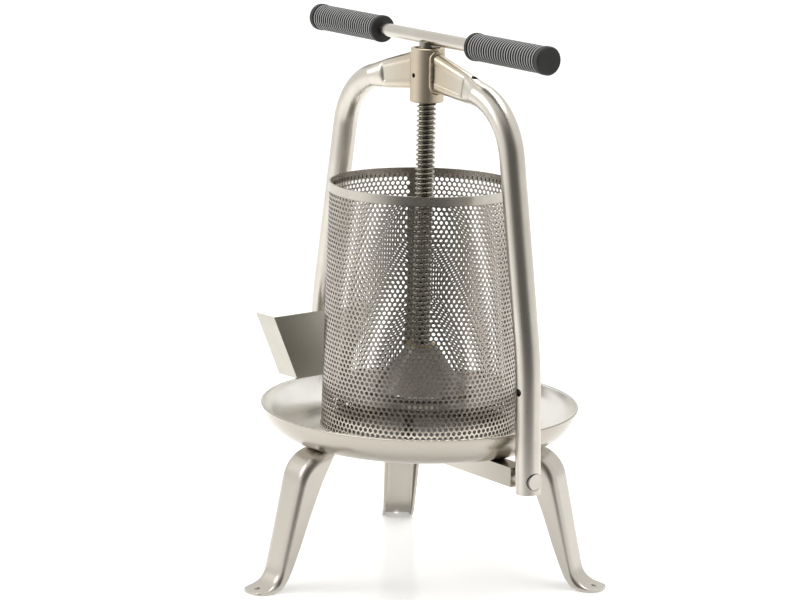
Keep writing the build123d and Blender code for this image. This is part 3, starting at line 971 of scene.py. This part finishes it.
# points round the tube at a distance along the arm, as (sideways, across the arm)
def tubeSection(look, gone, axisAt, inset):
    share = min(gone / look["squeeze"], 1.0)
    step = look["stepShare"]
    flat = share * (1 - step) + step * smoothStep(share, look["stepStart"], 1.0)
    tall = armTall(look, gone, axisAt)
    radius = look["radius"] - inset
    cap = look["armWidth"] / 2 - inset
    straight = (tall - look["armWidth"]) / 2
    bow = math.pi * cap
    dent = look["dentDepth"] * smoothStep(flat, look["dentStart"], 1.0)
    edge = look["dentShare"] * tall / 2
    points = []
    for k in range(look["sides"]):
        turn = 2 * math.pi * k / look["sides"]
        sign = 1 if turn < math.pi else -1
        run = (2 * straight + bow) * (2 * k / look["sides"] % 1.0)  # along one half of the oval
        t = min(max(run - straight, 0.0), bow) / cap
        y = cap * math.cos(t)
        h = min(run, straight) + cap * math.sin(t) - max(run - straight - bow, 0.0)
        y -= math.copysign(dent * (1 - smoothStep(h, edge - look["dentEdge"], edge)), y)
        roundY, roundH = radius * math.cos(turn), radius * math.sin(turn)
        points.append((roundY + (sign * y - roundY) * flat, roundH + (sign * h - roundH) * share))
    return points


def tubeRings(look, inset):
    stations = roundStations(look)
    x, z, lean = stations[-1]
    sine, cosine = math.sin(lean), math.cos(lean)
    toBoss = (x - look["bossRadius"]) / sine
    rings = []
    for sx, sz, slope in stations:
        section = tubeSection(look, 0.0, x, inset)
        rings.append([(sx + h * math.cos(slope), y, sz + h * math.sin(slope)) for y, h in section])
    for k in range(look["squeezeSteps"]):
        gone = look["squeeze"] * (k + 1) / look["squeezeSteps"]
        section = tubeSection(look, gone, x, inset)
        rings.append([(x - gone * sine + h * cosine, y, z + gone * cosine + h * sine) for y, h in section])
    for k in range(look["armSteps"]):
        share = (k + 1) / look["armSteps"]
        gone = look["squeeze"] + (toBoss - look["squeeze"]) * share
        ring = []
        for y, h in tubeSection(look, gone, x, inset):
            hit = (x + h * cosine - math.sqrt(look["bossRadius"] ** 2 - y * y)) / sine
            far = gone + (hit - toBoss) * share  # the end is cut to fit the boss
            ring.append((x - far * sine + h * cosine, y, z + far * cosine + h * sine))
        rings.append(ring)
    return rings


def tubeMesh(look):
    form = bmesh.new()
    skins = []
    for inset in (0.0, look["wall"]):
        skins.append([[form.verts.new(place) for place in ring] for ring in tubeRings(look, inset)])
    for rings in skins:
        strips(form, rings)
    outer, inner = skins
    for end in (0, -1):
        strips(form, [outer[end], inner[end]])
    bmesh.ops.recalc_face_normals(form, faces=form.faces)
    return meshOf(form, "yokeTube")


def makeTubes(look):
    x, z, lean = roundStations(look)[-1]
    along = Vector((-math.sin(lean), 0, math.cos(lean)))
    across = Vector((math.cos(lean), 0, math.sin(lean)))
    crossX = look["pivotX"] - (look["crossZ"] - look["pivotZ"]) * math.tan(math.radians(look["lowLean"]))
    through = 4 * look["radius"]  # past both walls
    pin = {
        "at": (look["pivotX"], 0, look["pivotZ"]),
        "way": (1, 0, 0),
        "radius": look["pinHole"],
        "depth": through,
        "sides": look["pinSides"],
    }
    vent = {
        "at": Vector((x, 0, z)) + along * look["ventAt"] + across * look["radius"],
        "way": across,
        "radius": look["vent"],
        "depth": look["radius"],
        "sides": look["holeSides"],
    }
    cross = {
        "at": (crossX, 0, look["crossZ"]),
        "way": (0, 1, 0),
        "radius": look["crossHole"],
        "depth": through,
        "sides": look["holeSides"],
    }
    for side, turn, holes in (("near", 0.0, [pin, vent, cross]), ("far", math.pi, [pin, vent])):
        mesh = drilled(tubeMesh(look), holes)
        mesh.transform(Matrix.Rotation(turn, 4, "Z"))
        piece = smoothPiece("bentTube" + side, mesh, materials["tubeSteel"], crispAngle)
        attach(piece, "yoke")
        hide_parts("yoke_tube_" + side)


# Weld beads where the flattened tube ends meet the boss

weld = {
    "beadRadius": 0.003,
    "ripples": 84,
    "smallest": (0.94, 0.94, 0.80),
    "largest": (1.06, 1.06, 0.95),
    "dropSides": 10,
    "dropRings": 6,
    "pathSteps": 96,
    "seed": 4,
}


# the oval line on the boss that the arm's end is cut to
def weldPath(arm, side, steps):
    x, z, lean = roundStations(arm)[-1]
    sine, cosine = math.sin(lean), math.cos(lean)
    toBoss = (x - arm["bossRadius"]) / sine
    cap = arm["armWidth"] / 2
    straight = armTall(arm, toBoss, x) / 2 - cap
    points = []
    for t in turnsRound(steps):
        y = cap * math.cos(t)
        h = cap * math.sin(t) + math.copysign(straight, math.sin(t))
        far = (x + h * cosine - math.sqrt(arm["bossRadius"] ** 2 - y * y)) / sine
        points.append((side * (x - far * sine + h * cosine), side * y, z + far * cosine + h * sine))
    return points


def weldTree():
    inputs = {
        "Path": "Object",
        "Ripples": "Int",
        "Bead Radius": "Float",
        "Drop Sides": "Int",
        "Drop Rings": "Int",
        "Smallest": "Vector",
        "Largest": "Vector",
        "Seed": "Int",
        "Material": "Material",
    }
    tree, board, given = newTree("weldBead", inputs)
    line = board.add("GeometryNodeMeshToCurve", None, {"Mesh": board.shapeOf(given["Path"])})
    sockets = {"Curve": line, "Count": given["Ripples"]}
    spots = board.add("GeometryNodeCurveToPoints", {"mode": "COUNT"}, sockets)
    turned = Wire(board, spots.socket.node.outputs["Rotation"])
    sockets = {"Segments": given["Drop Sides"], "Rings": given["Drop Rings"], "Radius": given["Bead Radius"]}
    drop = board.add("GeometryNodeMeshUVSphere", None, sockets)
    sockets = {"Min": given["Smallest"], "Max": given["Largest"], "Seed": given["Seed"]}
    size = board.add("FunctionNodeRandomValue", {"data_type": "FLOAT_VECTOR"}, sockets)
    sockets = {"Points": spots, "Instance": drop, "Rotation": turned, "Scale": size}
    beads = board.add("GeometryNodeInstanceOnPoints", None, sockets)
    whole = board.add("GeometryNodeRealizeInstances", None, {0: beads})
    smooth = board.add("GeometryNodeSetShadeSmooth", None, {0: whole})
    closeTree(board, smooth, given["Material"])
    return tree


def makeWelds(look, arm):
    tree = weldTree()
    for name, side in (("weldNear", 1), ("weldFar", -1)):
        points = weldPath(arm, side, look["pathSteps"])
        mesh = bpy.data.meshes.new(name + "Path")
        count = len(points)
        mesh.from_pydata(points, [(k, (k + 1) % count) for k in range(count)], [])
        path = linked(name + "Path", mesh)
        values = {
            "Path": path,
            "Ripples": look["ripples"],
            "Bead Radius": look["beadRadius"],
            "Drop Sides": look["dropSides"],
            "Drop Rings": look["dropRings"],
            "Smallest": look["smallest"],
            "Largest": look["largest"],
            "Seed": look["seed"],
            "Material": materials["weldSteel"],
        }
        bead = bake(name, tree, values)
        bpy.data.objects.remove(path)
        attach(bead, "yoke")


# Dark rings round the pivot pins, painted shade in the gap between pin and hole, wider on the side where the
# hole is worn

pinGapShade = {
    "radius": 0.0087,
    "width": 0.0007,
    "thinShare": 0.25,
    "wornSide": -65.0,
    "steps": 64,
    "sides": 6,
}


def pinGapShadeMesh(look, foot):
    worn = math.radians(look["wornSide"])
    slope = math.tan(math.radians(foot["lowLean"]))
    outward = Vector((1, 0, 0))
    form = bmesh.new()
    rings = []
    for t in turnsRound(look["steps"]):
        out = Vector((0, math.sin(t), math.cos(t)))
        spot = out * look["radius"]
        onTube = foot["pivotX"] + math.sqrt(foot["radius"] ** 2 - spot.y**2) - slope * spot.z
        spot += Vector((onTube, 0, foot["pivotZ"]))
        wear = max(0.0, math.cos(t - worn))
        thick = look["width"] * (look["thinShare"] + (1 - look["thinShare"]) * wear)
        turns = turnsRound(look["sides"])
        ring = [spot + (out * math.cos(s) + outward * math.sin(s)) * thick for s in turns]
        rings.append([form.verts.new(place) for place in ring])
    strips(form, rings + rings[:1])
    bmesh.ops.recalc_face_normals(form, faces=form.faces)
    return meshOf(form, "pinGapShadeRing")


def makePinGapShades(look, foot):
    for name, turn in (("grooveNear", 0.0), ("grooveFar", math.pi)):
        mesh = pinGapShadeMesh(look, foot)
        mesh.transform(Matrix.Rotation(turn, 4, "Z"))
        # the dark steel here paints the shade in the gap round the pin
        piece = smoothPiece(name, mesh, materials["darkSteel"])
        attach(piece, "yoke")


makeBasket(basket)
makeWelds(weld, tube)
makeScrew(screw)
makeLegs(leg)
makeTubes(tube)
makePinGapShades(pinGapShade, tube)
print("pieces made")


# Camera at the photograph's angle

shot = {
    "azimuth": 53.75,
    "elevation": 11.25,
    "roll": 1.27,
    "distance": 3.136,
    "aside": -0.0228,
    "height": 0.2828,
    "focalPixels": 3019.0,
    "imageWidth": 800,
    "sensorWidth": 36.0,
}


def makeCamera(look):
    a, e, r = (math.radians(look[k]) for k in ("azimuth", "elevation", "roll"))
    back = Vector((math.sin(a) * math.cos(e), -math.cos(a) * math.cos(e), math.sin(e)))
    right = Vector((math.cos(a), math.sin(a), 0))
    up = back.cross(right)
    level = right * math.cos(r) + up * math.sin(r)
    rise = up * math.cos(r) - right * math.sin(r)
    data = bpy.data.cameras.new("camera")
    data.sensor_width = look["sensorWidth"]
    data.lens = look["focalPixels"] * look["sensorWidth"] / look["imageWidth"]
    camera = linked("camera", data)
    eye = right * look["aside"] + Vector((0, 0, look["height"])) + back * look["distance"]
    turn = Matrix((level, rise, back)).transposed().to_4x4()
    camera.matrix_world = Matrix.Translation(eye) @ turn
    scene.camera = camera


makeCamera(shot)


# Studio: white tent, open and darker on the camera's side

studio = {
    "tentTone": (1.0, 0.99, 0.97),
    "darkTone": (0.13, 0.126, 0.12),
    "openingRise": 0.12,
    "openingEdge": (0.35, 0.92),
    "floorSize": 30.0,
    "floorFront": 0.75,
    "floorTone": (0.93, 0.93, 0.93),
    "floorRough": 0.16,
    "floorIor": 1.22,
    "floorGlow": 0.3,
    "white": (1, 1, 1, 1),
}

lamps = {
    "lampTop": {"place": (-0.2, 0.3, 2.2), "aim": (0, 0, 0.3), "size": 1.8, "power": 26.0},
    "lampLeft": {"place": (-1.2, -1.9, 1.5), "aim": (0, 0, 0.25), "size": 1.1, "power": 16.0},
}


def makeTent(look, azimuth):
    world = bpy.data.worlds.new("studioTent")
    world.use_nodes = True
    scene.world = world
    board = Board(world.node_tree)
    way = board.add("ShaderNodeTexCoord", None, None, "Generated")
    facing = board.dot(way, (math.sin(azimuth), -math.cos(azimuth), look["openingRise"]))
    opening = board.between(facing, *look["openingEdge"])
    tent = board.blend(opening, rgba(look["tentTone"]), rgba(look["darkTone"]))
    seen = board.add("ShaderNodeLightPath", None, None, "Is Camera Ray")
    sky = board.blend(seen, tent, look["white"])
    light = board.add("ShaderNodeBackground", None, {"Color": sky, "Strength": 1.0})
    board.add("ShaderNodeOutputWorld", None, {"Surface": light})


def makeFloor(look, azimuth):
    half = look["floorSize"] / 2
    side = Vector((math.cos(azimuth), math.sin(azimuth), 0)) * half
    toCamera = Vector((math.sin(azimuth), -math.cos(azimuth), 0))
    front = toCamera * look["floorFront"]  # the table ends before the camera
    back = toCamera * -half
    mesh = bpy.data.meshes.new("floor")
    mesh.from_pydata([front - side, front + side, back + side, back - side], [], [(0, 1, 2, 3)])
    material, board = newMaterial("floorGloss")
    sockets = {
        "Base Color": rgba(look["floorTone"]),
        "Roughness": look["floorRough"],
        "IOR": look["floorIor"],
        "Emission Color": look["white"],
        "Emission Strength": look["floorGlow"],
    }
    board.coat(sockets)
    mesh.materials.append(material)
    floor = linked("floor", mesh)


def makeLamps(looks):
    for name, look in looks.items():
        data = bpy.data.lights.new(name, "AREA")
        data.shape = "DISK"
        data.size = look["size"]
        data.energy = look["power"]
        light = linked(name, data)
        light.location = look["place"]
        away = Vector(look["place"]) - Vector(look["aim"])
        light.rotation_euler = away.to_track_quat("Z", "Y").to_euler()


makeTent(studio, math.radians(shot["azimuth"]))
makeFloor(studio, math.radians(shot["azimuth"]))
makeLamps(lamps)
scene.view_settings.view_transform = "Standard"
print("studio set")
